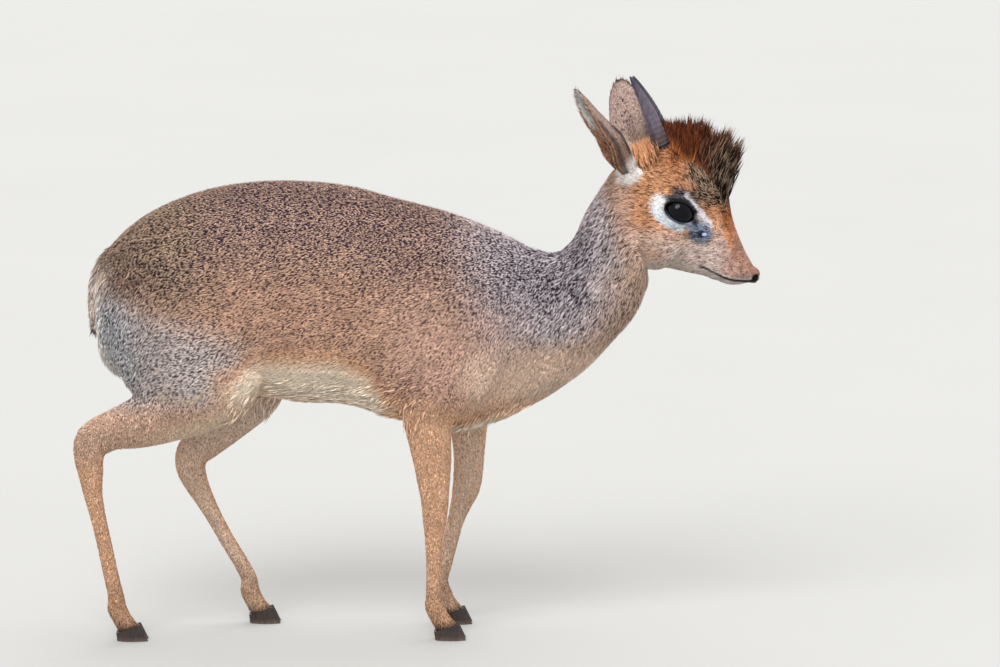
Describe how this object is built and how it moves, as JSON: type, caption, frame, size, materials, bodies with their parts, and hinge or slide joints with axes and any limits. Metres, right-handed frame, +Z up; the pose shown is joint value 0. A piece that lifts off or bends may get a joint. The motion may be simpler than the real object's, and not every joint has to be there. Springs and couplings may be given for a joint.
{
  "type": "dik-dik model",
  "caption": "Life-size standing adult male dik-dik, a small antelope, as a still museum model, one hind leg stretched back, head turned slightly to its right.",
  "frame": {"origin": "middle of the model's box, at the level of the floor under its hooves", "axes": "+X along the body towards the head, +Y towards the animal's left side, +Z up"},
  "size_m": [0.5682, 0.1302, 0.47],
  "materials": {
    "coat_back": "matte short fur",
    "coat_neck": "matte short fur",
    "coat_head": "matte short fur",
    "coat_leg": "matte short fur",
    "coat_tail": "matte short fur",
    "coat_ear": "matte thin fur",
    "horn": "satin horn",
    "hoof": "satin hoof",
    "eye": "wet gloss"
  },
  "bodies": {
    "root": {"torso": "coat_back", "neck": "coat_neck", "head": "coat_head", "tail": "coat_tail", "leg_fore_right": "coat_leg", "leg_fore_left": "coat_leg", "leg_hind_right": "coat_leg", "leg_hind_left": "coat_leg", "ear_right": "coat_ear", "ear_left": "coat_ear", "eye_right": "eye", "eye_left": "eye", "horn_right": "horn", "horn_left": "horn", "hoof_fore_right": "hoof", "hoof_fore_left": "hoof", "hoof_hind_right": "hoof", "hoof_hind_left": "hoof"}
  },
  "joints": []
}
